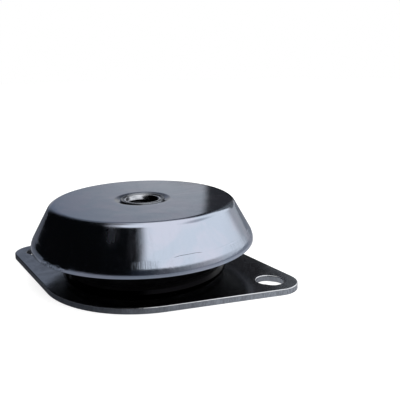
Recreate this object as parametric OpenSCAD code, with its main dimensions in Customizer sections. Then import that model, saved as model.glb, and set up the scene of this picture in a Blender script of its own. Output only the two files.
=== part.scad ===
// Rubber anti-vibration mount for an engine or machine foot.
// A rhombic base plate with a pressed-up cone carries a moulded rubber ring, a drawn steel cap
// sits on the ring, and a threaded bush with a rebound washer ties the halves together.
// Millimetres, +Z up. The origin is the middle of the plate's underside, the fixing slots lie on X.

/* [Base plate] */
// Distance between the middles of the two fixing slots
slot_spacing = 110; // [107:0.5:122]
// Length of a fixing slot from end to end, along the plate
slot_l = 11; // [9.5:0.25:13]
// Width of a fixing slot
slot_w = 9; // [7:0.25:10.5]
// Radius of the plate's two narrow ends
end_r = 9; // [8.5:0.25:12]
// How far the centre of an end's round lies beyond the middle of its slot
end_shift = 2; // [1:0.25:4]
// Width of the plate across its round sides
plate_w = 87; // [85:0.5:92]
// Radius of the round sides
side_r = 42.5; // [38:0.5:42.5]
// Thickness of the plate
plate_t = 2.5; // [2:0.1:3]

/* [Raised cone of the plate] */
// Diameter of the cone where its side meets the flat plate
cone_foot_d = 69; // [66:0.5:71]
// Diameter of the cone where its side meets the flange on top
cone_top_d = 51; // [48:0.5:54]
// Height of the flange's upper face
flange_z = 18.5; // [17:0.25:20]
// Diameter of the hole in the flange
flange_hole_d = 32; // [30:0.5:34]
// Radius of the hollow bend at the cone's foot
foot_bend_r = 3; // [1.5:0.25:3.5]
// Radius of the round bend at the cone's shoulder
shoulder_bend_r = 4; // [3.2:0.1:4.5]

/* [Top cap] */
// Height of the cap's flat top
total_h = 32; // [31:0.25:34]
// Diameter of the flat top, measured to the sharp corner
cap_top_d = 75.6; // [73:0.2:78]
// Diameter where the sloping side turns down into the skirt
cap_crease_d = 92.3; // [90:0.1:94]
// Diameter of the skirt's lower rim
rim_d = 93; // [91:0.5:95]
// Height of the rim
rim_z = 14.4; // [13:0.2:15]
// Height of the short skirt
skirt_h = 2.7; // [2:0.1:3.2]
// Thickness of the cap's sheet
cap_t = 2; // [1.5:0.1:2.2]
// Outer radius of the bend round the flat top
top_bend_r = 3.8; // [2.3:0.1:4.5]
// Outer radius of the bend above the skirt
skirt_bend_r = 7; // [2.3:0.1:8]
// Diameter of the shallow dimple that takes the bush's lip
dimple_d = 23; // [21.5:0.25:26]
// Depth of the dimple
dimple_h = 0.8; // [0.6:0.05:1]
// Width of the dimple's sloping edge
dimple_slope_w = 1.7; // [1.2:0.1:2]

/* [Threaded bush] */
// Core diameter of the thread
thread_core_d = 10.2; // [8.5:0.1:10.5]
// Diameter of the bush between cap and washer
bush_d = 19; // [18.2:0.1:21]
// Diameter of the two turned-down ends
spigot_d = 16; // [15.8:0.05:16.4]
// Diameter of the lip rolled over the cap
lip_d = 18.6; // [18.2:0.1:19.2]
// Diameter of the groove that the rolling tool leaves
groove_d = 16.3; // [16.1:0.1:16.6]
// Depth of that groove
groove_h = 0.4; // [0.2:0.05:0.5]
// Mouth diameter of the countersink
countersink_d = 14; // [12.5:0.1:14.2]
// Depth of the countersink's cone
countersink_h = 2.4; // [1.5:0.1:3]
// How far the bush's land lies under the cap's flat top
land_drop = 0.2; // [0.1:0.05:0.3]
// Diameter of the lip rolled over the washer
tail_d = 18.4; // [17.6:0.1:20]
// Height of the lip rolled over the washer
tail_h = 0.8; // [0.6:0.05:1.2]
// Lead-in chamfer at the lower end of the thread
lead_in = 0.7; // [0.4:0.05:1]

/* [Rebound washer] */
// Outer diameter of the washer
washer_d = 44; // [40:0.5:46]
// Thickness of the washer
washer_t = 3; // [2.5:0.1:3.5]
// Free travel between the washer and the rubber pad above it
rebound_gap = 2.1; // [2.1:0.05:2.5]
// Edge break of the washer
washer_break = 0.4; // [0.2:0.05:0.6]

/* [Rubber ring] */
// Height up to which the rubber grips the inside of the cap
rubber_top_z = 27.5; // [26.5:0.25:28]
// How far the rubber ends above the cap's rim
rim_recess = 1; // [0.5:0.1:1.5]
// Diameter of the rubber's lower lip
rubber_lip_d = 76.4; // [75:0.2:78]
// Height of the rubber's lower lip
rubber_lip_z = 6.6; // [6:0.1:7.5]
// Height of the rubber's foot on the cone
rubber_foot_z = 4.4; // [4.2:0.1:5]
// Thickness of the bump stop on the flange
bump_t = 3; // [2:0.1:3.5]
// Diameter at which the bump stop runs out into the ring's hollow top
bump_d = 54; // [53:0.5:56]
// Thickness of the rubber inside the flange's hole
lining_t = 3; // [2:0.1:3.5]
// Thickness of the rebound pad under the flange
pad_t = 1.7; // [1.2:0.1:2]
// Diameter of the rebound pad
pad_d = 45; // [42:0.5:45]
// How far the outer wall curves inwards
wall_sag = 1.3; // [0.5:0.1:2]
// How far the underside curves inwards
under_sag = 0.9; // [0.4:0.1:1.2]
// How far the hollow top curves down
top_sag = 1.8; // [0.5:0.1:2.5]
// Thickness of the adhesive between rubber and cap
bond_t = 0.25; // [0.2:0.05:0.4]
// Round on the rubber's lower lip
rubber_lip_r = 0.7; // [0.4:0.1:1]
// Round on the rubber's other edges
rubber_edge_r = 1; // [0.5:0.1:1.2]

/* [Hidden] */
$fn = 144;
bend_steps = 8;
bow_steps = 10;
// Cutters run this far past the faces that they cut
over = 1;
// Rounds on the bush's rolled lips and its land
rolled_r = 0.35;
land_r = 0.15;

// The outer face of the cap, from the edge of its hole out to the rim and past it
cap_floor_z = total_h - dimple_h;
crease_z = rim_z + skirt_h;
rim_slope = (rim_d - cap_crease_d) / 2 / skirt_h;
cap_face = [
    [spigot_d / 2, cap_floor_z],
    [dimple_d / 2 - dimple_slope_w, cap_floor_z],
    [dimple_d / 2, total_h],
    [cap_top_d / 2, total_h],
    [cap_crease_d / 2, crease_z],
    [rim_d / 2 + rim_slope * over, rim_z - over]
];
dimple_r = 1;
cap_bends = [0, dimple_r, cap_t + dimple_r / 2, top_bend_r, skirt_bend_r, 0];

// The upper face of the raised cone, from the flange's hole out to the flat plate
join_r = cone_foot_d / 2 + foot_bend_r + plate_t;
cone_face = [
    [flange_hole_d / 2, flange_z],
    [cone_top_d / 2, flange_z],
    [cone_foot_d / 2, plate_t],
    [join_r, plate_t]
];
cone_bends = [0, shoulder_bend_r, foot_bend_r, 0];

// Heights of the washer and of the bush's two shoulders
flange_under_z = flange_z - plate_t;
pad_z = flange_under_z - pad_t;
washer_top_z = pad_z - rebound_gap;
washer_z = washer_top_z - washer_t;
bush_shoulder_z = cap_floor_z - cap_t;
bush_end_z = washer_z - tail_h;

function unit(v) = v / norm(v);
function left_of(v) = [-v[1], v[0]];
function turned(v, a) = [v[0] * cos(a) - v[1] * sin(a), v[0] * sin(a) + v[1] * cos(a)];
function reversed(list) = [for (i = [len(list) - 1:-1:0]) list[i]];

// The point at height z on the line through a and b
function at_height(a, b, z) = a + (b - a) * (z - a[1]) / (b[1] - a[1]);

// How far the path from a over b to c turns at b, in degrees
function turn_at(a, b, c) = atan2(cross(unit(b - a), unit(c - b)), unit(b - a) * unit(c - b));

// The largest radius at b whose arc still ends before c
function longest_bend(a, b, c) = norm(c - b) / tan(abs(turn_at(a, b, c)) / 2);

// The arc of radius r that rounds the corner b of a path that comes from a and goes on to c
function rounded_corner(a, b, c, r) =
    let (
        u = unit(b - a),
        turn = turn_at(a, b, c),
        start = b - u * r * tan(abs(turn) / 2),
        centre = start + left_of(u) * r * sign(turn)
    )
    r <= 0 ? [b] : [for (k = [0:bend_steps]) centre + turned(start - centre, turn * k / bend_steps)];

// A path with its inner corners rounded, one radius for each point
function rounded_path(path, radii) =
    let (last = len(path) - 1)
    [
        path[0],
        for (i = [1:last - 1]) each rounded_corner(path[i - 1], path[i], path[i + 1], radii[i]),
        path[last]
    ];

// The same path shifted sideways by d, positive to the left of its direction
function shifted_path(path, d) =
    let (
        last = len(path) - 1,
        normals = [for (i = [0:last - 1]) left_of(unit(path[i + 1] - path[i]))]
    )
    [
        path[0] + normals[0] * d,
        for (i = [1:last - 1])
            path[i] + (normals[i - 1] + normals[i]) * d / (1 + normals[i - 1] * normals[i]),
        path[last] + normals[last - 1] * d
    ];

// The bend radii that keep the shifted path parallel to the first
function shifted_bends(path, radii, d) =
    [
        for (i = [0:len(path) - 1])
            radii[i] == 0 ? 0 : max(0, radii[i] - d * sign(cross(path[i] - path[i - 1], path[i + 1] - path[i])))
    ];

// The outline of a sheet of thickness t, whose outer face follows the path with the metal on its right
function sheet_outline(path, radii, t) =
    concat(
        rounded_path(path, radii),
        reversed(rounded_path(shifted_path(path, -t), shifted_bends(path, radii, -t)))
    );

// Points between a and b on a curve that bows by sag to the left
function bow(a, b, sag) =
    [
        for (k = [1:bow_steps - 1])
            let (t = k / bow_steps)
            a + (b - a) * t + left_of(unit(b - a)) * 4 * sag * t * (1 - t)
    ];

// The flat outline: two round ends and two round sides, joined by their common tangents
module plate_outline() {
    end_centre = [slot_spacing / 2 + end_shift, 0];
    side_centre = [0, plate_w / 2 - side_r];
    across = end_centre - side_centre;
    lean = atan2(across[1], across[0]) + acos((side_r - end_r) / norm(across));
    normal = [cos(lean), sin(lean)];
    end_point = end_centre + normal * end_r;
    side_point = side_centre + normal * side_r;
    polygon([
        for (s = [[1, 1], [-1, 1], [-1, -1], [1, -1]])
            for (p = s[0] * s[1] > 0 ? [end_point, side_point] : [side_point, end_point])
                [s[0] * p[0], s[1] * p[1]]
    ]);
    for (s = [-1, 1]) {
        translate(s * end_centre) circle(r = end_r);
        translate(s * side_centre) circle(r = side_r);
    }
}

module fixing_slots() {
    for (s = [-1, 1])
        translate([s * slot_spacing / 2, 0, -over])
            linear_extrude(height = plate_t + 2 * over) {
                square([slot_l - slot_w, slot_w], center = true);
                for (e = [-1, 1])
                    translate([e * (slot_l - slot_w) / 2, 0]) circle(d = slot_w);
            }
}

module base_plate() {
    color([0.52, 0.56, 0.62]) {
        difference() {
            linear_extrude(height = plate_t) plate_outline();
            translate([0, 0, -over]) cylinder(r = join_r, h = plate_t + 2 * over);
            fixing_slots();
        }
        rotate_extrude() polygon(sheet_outline(cone_face, cone_bends, plate_t));
    }
}

module top_cap() {
    color([0.66, 0.70, 0.78])
        rotate_extrude()
            difference() {
                polygon(sheet_outline(cap_face, cap_bends, cap_t));
                translate([0, rim_z - 2 * over - cap_t]) square([rim_d, 2 * over + cap_t]);
            }
}

// The bush's end above the cap: a countersink, a narrow land, the groove and the rolled lip
function bush_head() =
    let (
        land_z = total_h - land_drop,
        mouth = [countersink_d / 2, land_z],
        groove = [groove_d / 2, total_h - groove_h],
        land_edge = [(countersink_d + groove_d) / 4, land_z],
        crest = [(groove_d + lip_d) / 4, total_h],
        brim = [lip_d / 2, total_h]
    )
    concat(
        [[thread_core_d / 2, land_z - countersink_h]],
        rounded_corner([thread_core_d / 2, land_z - countersink_h], mouth, land_edge, land_r),
        rounded_corner(mouth, land_edge, groove, land_r),
        rounded_corner(land_edge, groove, crest, land_r),
        rounded_corner(groove, crest, brim, land_r),
        rounded_corner(crest, brim, [lip_d / 2, cap_floor_z], rolled_r),
        [[lip_d / 2, cap_floor_z], [spigot_d / 2, cap_floor_z]]
    );

// The bush's end under the washer: the second rolled lip and the lead-in of the thread
function bush_tail() =
    let (brim = [tail_d / 2, bush_end_z])
    concat(
        [[spigot_d / 2, washer_z], [tail_d / 2, washer_z]],
        rounded_corner([tail_d / 2, washer_z], brim, [0, bush_end_z], rolled_r),
        [[thread_core_d / 2 + lead_in, bush_end_z], [thread_core_d / 2, bush_end_z + lead_in]]
    );

module threaded_bush() {
    color([0.74, 0.76, 0.80])
        rotate_extrude()
            polygon(concat(
                bush_head(),
                [
                    [spigot_d / 2, bush_shoulder_z],
                    [bush_d / 2, bush_shoulder_z],
                    [bush_d / 2, washer_top_z],
                    [spigot_d / 2, washer_top_z]
                ],
                bush_tail()
            ));
}

module rebound_washer() {
    color([0.60, 0.62, 0.66])
        rotate_extrude()
            polygon([
                [spigot_d / 2, washer_z],
                [washer_d / 2 - washer_break, washer_z],
                [washer_d / 2, washer_z + washer_break],
                [washer_d / 2, washer_top_z - washer_break],
                [washer_d / 2 - washer_break, washer_top_z],
                [spigot_d / 2, washer_top_z]
            ]);
}

// The moulded ring: it grips the cone outside and the cap inside, wraps the flange from above,
// lines its hole and ends in the rebound pad beneath
function rubber_outline() =
    let (
        hole_r = flange_hole_d / 2,
        lining_r = hole_r - lining_t,
        bump_z = flange_z + bump_t,
        foot = at_height(cone_face[1], cone_face[2], rubber_foot_z),
        bump_end = [bump_d / 2, bump_z],
        inner = shifted_path(cap_face, -cap_t - bond_t),
        inner_bends = shifted_bends(cap_face, cap_bends, -cap_t - bond_t),
        grip_top = at_height(inner[3], inner[4], rubber_top_z),
        grip_end = at_height(inner[4], inner[5], rim_z + rim_recess),
        // The bend against the skirt runs out before the rubber ends
        grip_bend = min(inner_bends[4], longest_bend(inner[3], inner[4], grip_end)),
        lip = [rubber_lip_d / 2, rubber_lip_z],
        wall = bow(grip_end, lip, -wall_sag),
        under = bow(lip, foot, -under_sag)
    )
    concat(
        [foot],
        rounded_corner(cone_face[2], cone_face[1], cone_face[0], shoulder_bend_r),
        [cone_face[0], [hole_r, flange_under_z], [pad_d / 2, flange_under_z]],
        rounded_corner([pad_d / 2, flange_under_z], [pad_d / 2, pad_z], [0, pad_z], rubber_edge_r),
        rounded_corner([pad_d / 2, pad_z], [lining_r, pad_z], [lining_r, bump_z], rubber_edge_r),
        rounded_corner([lining_r, pad_z], [lining_r, bump_z], bump_end, rubber_edge_r),
        [bump_end],
        bow(bump_end, grip_top, -top_sag),
        [grip_top],
        rounded_corner(inner[3], inner[4], inner[5], grip_bend),
        [grip_end],
        wall,
        rounded_corner(wall[bow_steps - 2], lip, under[0], rubber_lip_r),
        under
    );

module rubber_element() {
    color([0.09, 0.09, 0.10]) rotate_extrude() polygon(rubber_outline());
}

base_plate();
top_cap();
threaded_bush();
rubber_element();
rebound_washer();
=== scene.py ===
"""A rubber anti-vibration mount, dressed for its picture.

A drawn steel cap sits on a moulded rubber ring, which is bonded to the pressed cone of a rhombic
base plate. A threaded bush with a rebound washer ties the halves together. Sizes are in
millimetres and are turned to metres as each mesh is finished. The origin is the middle of the
plate's underside, +Z is up and the fixing slots lie on X.
"""

from __future__ import annotations

import logging
import math
from dataclasses import dataclass, field
from enum import Enum
from typing import Iterable, Sequence

import bmesh
import bpy
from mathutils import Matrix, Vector


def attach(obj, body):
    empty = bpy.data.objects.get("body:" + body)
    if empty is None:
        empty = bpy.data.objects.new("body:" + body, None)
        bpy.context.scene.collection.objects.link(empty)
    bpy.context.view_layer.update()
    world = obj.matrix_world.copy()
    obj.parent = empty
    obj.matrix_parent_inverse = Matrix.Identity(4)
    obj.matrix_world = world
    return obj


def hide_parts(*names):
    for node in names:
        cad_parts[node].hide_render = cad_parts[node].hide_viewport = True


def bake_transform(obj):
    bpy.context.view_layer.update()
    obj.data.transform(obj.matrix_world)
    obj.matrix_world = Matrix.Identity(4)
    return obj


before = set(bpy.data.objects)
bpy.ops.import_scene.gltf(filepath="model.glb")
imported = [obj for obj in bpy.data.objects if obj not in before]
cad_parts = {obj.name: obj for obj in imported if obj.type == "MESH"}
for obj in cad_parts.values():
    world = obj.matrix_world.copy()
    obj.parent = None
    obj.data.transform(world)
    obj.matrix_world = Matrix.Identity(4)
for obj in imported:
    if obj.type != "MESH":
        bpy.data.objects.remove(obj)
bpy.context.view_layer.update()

LOG = logging.getLogger("mount")
MM = 0.001
FULL_TURN = 2 * math.pi
ORIGIN = Vector((0.0, 0.0, 0.0))
AXIS = Vector((0.0, 0.0, 1.0))
Colour = tuple[float, float, float]
# A place in millimetres, or a direction
Point = tuple[float, float, float]
# Where a gradual change starts, and where it is full
Span = tuple[float, float]
Socket = bpy.types.NodeSocket


class Body(str, Enum):
    """The two bodies that move against each other."""

    BASE = "base"
    TOP = "top"


class Slot(str, Enum):
    """The record's material slots."""

    PLATE = "plate_zinc"
    CAP = "cap_zinc"
    BUSH = "bush_zinc"
    RUBBER = "rubber_black"
    WASHER = "washer_zinc"


# Profiles and meshes


@dataclass(frozen=True)
class Corner:
    """A corner of a turned piece's profile.

    Args:
        r: distance from the axis.
        z: height.
        bend: radius of the round at the corner.
        steps: how many pieces the round is made of.
    """

    r: float
    z: float
    bend: float = 0.0
    steps: int = 6

    def at(self) -> Vector:
        """The corner's place in the XZ plane."""
        return Vector((self.r, 0.0, self.z))


def shifted(path: Sequence[Corner], gap: float) -> list[Corner]:
    """A path parallel to another one.

    Args:
        path: corners of the first path.
        gap: distance between them, positive to the right of the path's direction.

    Returns:
        The corners of the second path, with rounds about the same centres.
    """
    spots = [corner.at() for corner in path]
    ways = [(b - a).normalized() for a, b in zip(spots, spots[1:])]
    sides = [Vector((way.z, 0.0, -way.x)) for way in ways]
    result = []
    for i, corner in enumerate(path):
        before, after = sides[max(i - 1, 0)], sides[min(i, len(sides) - 1)]
        move = (before + after) * gap / (1 + before.dot(after))
        spot = spots[i] + move
        turn = 0.0
        if 0 < i < len(path) - 1:
            turn = ways[i - 1].x * ways[i].z - ways[i - 1].z * ways[i].x
        bend = max(0.0, corner.bend + math.copysign(gap, turn)) if corner.bend else 0.0
        result.append(Corner(spot.x, spot.z, bend, corner.steps))
    return result


def on_line(a: Corner, b: Corner, z: float) -> Corner:
    """The point at height z on the line through two corners."""
    share = (z - a.z) / (b.z - a.z)
    return Corner(a.r + (b.r - a.r) * share, z)


def bowed(a: Corner, b: Corner, sag: float, steps: int = 10) -> list[Corner]:
    """The inner points of a curve from a to b.

    Args:
        a: the curve's start.
        b: its end.
        sag: how far its middle lies to the right of the straight line.
        steps: how many pieces the curve has.

    Returns:
        The points between a and b.
    """
    start, across = a.at(), b.at() - a.at()
    side = Vector((across.z, 0.0, -across.x)).normalized()
    points = []
    for k in range(1, steps):
        share = k / steps
        spot = start + across * share + side * 4 * sag * share * (1 - share)
        points.append(Corner(spot.x, spot.z))
    return points


def wire(bm: bmesh.types.BMesh, corners: Sequence[Corner], closed: bool = True) -> None:
    """Draws a profile as a chain of edges and rounds its corners.

    Args:
        bm: the mesh that takes the chain.
        corners: the profile's corners in order.
        closed: whether the last corner joins the first.
    """
    spots = [bm.verts.new(corner.at()) for corner in corners]
    pairs = list(zip(spots, spots[1:]))
    if closed:
        pairs.append((spots[-1], spots[0]))
    for a, b in pairs:
        bm.edges.new((a, b))
    count = len(corners)
    for i, corner in enumerate(corners):
        if corner.bend <= 0 or not (closed or 0 < i < count - 1):
            continue
        here = corner.at()
        way_in = here - corners[i - 1].at()
        way_out = corners[(i + 1) % count].at() - here
        reach = corner.bend * math.tan(way_in.angle(way_out) / 2)
        bmesh.ops.bevel(
            bm,
            geom=[spots[i]],
            offset=reach,
            offset_type="OFFSET",
            segments=corner.steps,
            profile=0.5,
            affect="VERTICES",
            material=-1,
            clamp_overlap=False,
        )


def split_long_edges(bm: bmesh.types.BMesh, longest: float) -> None:
    """Cuts a profile's edges so that none is longer than a given length.

    Args:
        bm: the mesh that holds the profile.
        longest: the longest edge to leave, in millimetres.
    """
    for edge in list(bm.edges):
        cuts = math.ceil(edge.calc_length() / longest) - 1
        if cuts > 0:
            bmesh.ops.subdivide_edges(bm, edges=[edge], cuts=cuts)


def turned(
    corners: Sequence[Corner], steps: int, longest: float = 1.5, closed: bool = True
) -> bmesh.types.BMesh:
    """Spins a profile a full turn about the axis.

    Args:
        corners: the profile's corners.
        steps: how many pieces the turn has.
        longest: the longest piece of the profile, in millimetres.
        closed: whether the last corner joins the first.

    Returns:
        The mesh, in millimetres.
    """
    bm = bmesh.new()
    wire(bm, corners, closed)
    split_long_edges(bm, longest)
    spun(bm, list(bm.verts) + list(bm.edges), FULL_TURN, steps, closed=True)
    return bm


def spun(
    bm: bmesh.types.BMesh,
    geom: list,
    angle: float,
    steps: int,
    centre: Vector = ORIGIN,
    rise: float = 0.0,
    closed: bool = False,
) -> dict[str, list]:
    """Spins vertices and edges about an upright line.

    Args:
        bm: the mesh that holds them.
        geom: the vertices and edges.
        angle: how far they turn, in radians.
        steps: how many pieces the turn has.
        centre: a point on the line.
        rise: how far they climb in each step.
        closed: whether the last step joins the first.

    Returns:
        What the operator made.
    """
    return bmesh.ops.spin(
        bm,
        geom=geom,
        cent=centre,
        axis=AXIS,
        dvec=(0, 0, rise),
        angle=angle,
        steps=steps,
        use_merge=closed,
        use_normal_flip=False,
        use_duplicate=False,
    )


def add_mesh(bm: bmesh.types.BMesh, other: bmesh.types.BMesh) -> None:
    """Adds a second mesh to the first one.

    Args:
        bm: the mesh that takes it.
        other: the second mesh, which is freed.
    """
    holder = bpy.data.meshes.new("holder")
    other.to_mesh(holder)
    other.free()
    bm.from_mesh(holder)
    bpy.data.meshes.remove(holder)


def finished(
    bm: bmesh.types.BMesh, name: str, material: bpy.types.Material, sharp: float = 38.0
) -> bpy.types.Object:
    """Turns a mesh in millimetres into a smooth object in metres.

    Args:
        bm: the mesh, which is freed.
        name: the object's name.
        material: its finish.
        sharp: edges that turn by more than this many degrees stay sharp.

    Returns:
        The object, at the origin.
    """
    bmesh.ops.remove_doubles(bm, verts=bm.verts, dist=0.0005)
    bmesh.ops.recalc_face_normals(bm, faces=bm.faces)
    bmesh.ops.scale(bm, vec=(MM, MM, MM), verts=bm.verts)
    mesh = bpy.data.meshes.new(name)
    bm.to_mesh(mesh)
    bm.free()
    mesh.polygons.foreach_set("use_smooth", [True] * len(mesh.polygons))
    mesh.set_sharp_from_angle(angle=math.radians(sharp))
    mesh.materials.append(material)
    piece = bpy.data.objects.new(name, mesh)
    bpy.context.collection.objects.link(piece)
    weighted = piece.modifiers.new("weighted_normals", "WEIGHTED_NORMAL")
    weighted.keep_sharp = True
    return piece


# Materials


class Nodes:
    """Adds and links the nodes of one material or world."""

    def __init__(self, tree: bpy.types.NodeTree) -> None:
        """Clears the tree."""
        self.tree = tree
        tree.nodes.clear()

    def add(self, kind: str, **settings: object) -> bpy.types.Node:
        """Adds a node.

        Args:
            kind: the node's type without its ShaderNode prefix.
            settings: properties to set on it.

        Returns:
            The node.
        """
        node = self.tree.nodes.new("ShaderNode" + kind)
        for key, value in settings.items():
            setattr(node, key, value)
        return node

    def feed(self, socket: Socket, value: object) -> None:
        """Links a socket to another one, or sets it to a plain value.

        Args:
            socket: the input.
            value: an output, a number or a tuple.
        """
        if isinstance(value, Socket):
            self.tree.links.new(value, socket)
        elif isinstance(value, tuple) and socket.type == "RGBA":
            socket.default_value = (*value, 1.0)
        else:
            socket.default_value = value

    def math(self, operation: str, *values: object) -> Socket:
        """The result of a Math node.

        Args:
            operation: what it does.
            values: its inputs.

        Returns:
            Its output.
        """
        node = self.add("Math", operation=operation)
        for socket, value in zip(node.inputs, values):
            self.feed(socket, value)
        return node.outputs[0]

    def times(self, first: object, *others: object) -> Socket:
        """The product of some values.

        Args:
            first: the first value.
            others: the values that it is multiplied by.

        Returns:
            The product.
        """
        product = first
        for other in others:
            product = self.math("MULTIPLY", product, other)
        return product

    def vector(self, operation: str, *values: object) -> Socket:
        """The vector result of a Vector Math node.

        Args:
            operation: what it does.
            values: its inputs.

        Returns:
            Its output.
        """
        node = self.add("VectorMath", operation=operation)
        for socket, value in zip(node.inputs, values):
            self.feed(socket, value)
        return node.outputs[0]

    def dot(self, a: object, b: object) -> Socket:
        """The dot product of two vectors.

        Args:
            a: the first vector.
            b: the second one.

        Returns:
            Their product, a number.
        """
        node = self.add("VectorMath", operation="DOT_PRODUCT")
        self.feed(node.inputs[0], a)
        self.feed(node.inputs[1], b)
        return node.outputs["Value"]

    def scaled(self, vector: object, factor: float) -> Socket:
        """A vector times a number.

        Args:
            vector: the vector.
            factor: the number.

        Returns:
            The longer or shorter vector.
        """
        node = self.add("VectorMath", operation="SCALE")
        self.feed(node.inputs[0], vector)
        node.inputs["Scale"].default_value = factor
        return node.outputs[0]

    def stretched(self, vector: object, factors: Point) -> Socket:
        """A vector with each part times its own number."""
        return self.vector("MULTIPLY", vector, factors)

    def place(self) -> Socket:
        """The point on the piece, in millimetres."""
        return self.scaled(self.add("TexCoord").outputs["Object"], 1 / MM)

    def lean(self) -> Socket:
        """How far the surface faces up, from -1 to 1."""
        return self.split(self.add("TexCoord").outputs["Normal"])[2]

    def height(self) -> Socket:
        """The point's height in millimetres."""
        return self.split(self.place())[2]

    def split(self, vector: object) -> tuple[Socket, ...]:
        """The three parts of a vector.

        Args:
            vector: the vector.

        Returns:
            Its X, Y and Z.
        """
        node = self.add("SeparateXYZ")
        self.feed(node.inputs[0], vector)
        return tuple(node.outputs)

    def joined(self, x: object, y: object, z: object) -> Socket:
        """A vector of three parts.

        Args:
            x: its first part.
            y: its second part.
            z: its third part.

        Returns:
            The vector.
        """
        node = self.add("CombineXYZ")
        for socket, value in zip(node.inputs, (x, y, z)):
            self.feed(socket, value)
        return node.outputs[0]

    def radius(self, place: object) -> Socket:
        """The distance of a point from the axis.

        Args:
            place: the point.

        Returns:
            The distance, in the point's own units.
        """
        flat = self.stretched(place, (1.0, 1.0, 0.0))
        node = self.add("VectorMath", operation="LENGTH")
        self.feed(node.inputs[0], flat)
        return node.outputs["Value"]

    def around(self, place: object, round_scale: float, height_scale: float) -> Socket:
        """Coordinates for marks that run up and down a turned piece, with no seam.

        Args:
            place: the point on the piece.
            round_scale: how quickly the marks change on the way round.
            height_scale: how quickly they change with height.

        Returns:
            The coordinates.
        """
        flat = self.vector("NORMALIZE", self.stretched(place, (1.0, 1.0, 0.0)))
        height = self.stretched(place, (0.0, 0.0, height_scale))
        return self.vector("ADD", self.scaled(flat, round_scale), height)

    def noise(
        self, vector: object, scale: float, detail: float = 2.0, rough: float = 0.5, warp: float = 0.0
    ) -> Socket:
        """A noise pattern.

        Args:
            vector: the coordinates.
            scale: how fine it is.
            detail: how many finer layers are added.
            rough: the weight of the finer layers.
            warp: how much the pattern is bent.

        Returns:
            Its value, about 0.5 on average.
        """
        node = self.add("TexNoise")
        self.feed(node.inputs["Vector"], vector)
        settings = {"Scale": scale, "Detail": detail, "Roughness": rough, "Distortion": warp}
        for key, value in settings.items():
            node.inputs[key].default_value = value
        return node.outputs["Fac"]

    def specks(self, vector: object, scale: float, size: float) -> Socket:
        """Small round specks.

        Args:
            vector: the coordinates.
            scale: how close together they are.
            size: their radius, as a share of the space between them.

        Returns:
            1 inside each speck and 0 between them.
        """
        node = self.add("TexVoronoi", feature="F1")
        self.feed(node.inputs["Vector"], vector)
        node.inputs["Scale"].default_value = scale
        return self.ramp(node.outputs["Distance"], size, size * 0.4)

    def ramp(
        self, value: object, low: float, high: float, bottom: float = 0.0, top: float = 1.0
    ) -> Socket:
        """Maps a value smoothly so that it is bottom at low and top at high.

        Args:
            value: the value.
            low: where the result is bottom. It may be more than high.
            high: where the result is top.
            bottom: the result at low and beyond it.
            top: the result at high and beyond it.

        Returns:
            The result.
        """
        if low > high:
            low, high, bottom, top = high, low, top, bottom
        node = self.add("MapRange", interpolation_type="SMOOTHSTEP", clamp=True)
        for key, number in {"From Min": low, "From Max": high, "To Min": bottom, "To Max": top}.items():
            node.inputs[key].default_value = number
        self.feed(node.inputs["Value"], value)
        return node.outputs["Result"]

    def mix(self, share: object, a: object, b: object) -> Socket:
        """A blend of two colours.

        Args:
            share: the second colour's share.
            a: the first colour.
            b: the second one.

        Returns:
            The blend.
        """
        node = self.add("Mix", data_type="RGBA")
        self.feed(node.inputs["Factor"], share)
        self.feed(node.inputs[6], a)
        self.feed(node.inputs[7], b)
        return node.outputs[2]

    def bump(self, height: object, depth: float, under: object = None) -> Socket:
        """A normal from a height pattern.

        Args:
            height: the pattern, 0 to 1.
            depth: its depth in millimetres.
            under: the normal that it is laid over.

        Returns:
            The normal.
        """
        node = self.add("Bump")
        node.inputs["Strength"].default_value = 1.0
        node.inputs["Distance"].default_value = depth * MM
        self.feed(node.inputs["Height"], height)
        if under is not None:
            self.feed(node.inputs["Normal"], under)
        return node.outputs["Normal"]

    def glow(self, colour: object, strength: object = 1.0) -> Socket:
        """A shader that gives light.

        Args:
            colour: its colour.
            strength: how strong it is.

        Returns:
            The shader.
        """
        node = self.add("Emission")
        self.feed(node.inputs["Color"], colour)
        self.feed(node.inputs["Strength"], strength)
        return node.outputs[0]

    def show(self, surface: Socket, kind: str = "OutputMaterial") -> None:
        """Sends a shader to the material's output, or to the world's."""
        self.feed(self.add(kind).inputs["Surface"], surface)


def fresh(name: str) -> tuple[bpy.types.Material, Nodes]:
    """Makes a material that has no nodes yet.

    Args:
        name: its name.

    Returns:
        The material, and the helper that adds its nodes.
    """
    material = bpy.data.materials.new(name)
    material.use_nodes = True
    return material, Nodes(material.node_tree)


@dataclass(frozen=True)
class Finish:
    """What all finishes share.

    Fields that end in _r and _z are radii and heights in millimetres, _lean is how far a face
    looks up, _side is a direction and _reach a stretch along it.

    Args:
        name: the material's name.
        roughness: the plain roughness, where no pattern gives one.
        metallic: 1 for uncoated or plated metal.
    """

    name: str
    roughness: float = 0.3
    metallic: float = 1.0

    def made(self) -> bpy.types.Material:
        """Makes the material.

        Returns:
            The material.
        """
        material, nodes = fresh(self.name)
        shader = nodes.add("BsdfPrincipled")
        nodes.show(shader.outputs[0])
        shader.inputs["Metallic"].default_value = self.metallic
        shader.inputs["Roughness"].default_value = self.roughness
        self.dress(nodes, shader)
        return material

    def dress(self, nodes: Nodes, shader: bpy.types.Node) -> None:
        """Links the colour, roughness and relief to the shader.

        Args:
            nodes: the material's nodes.
            shader: its shader.
        """
        raise NotImplementedError


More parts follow.
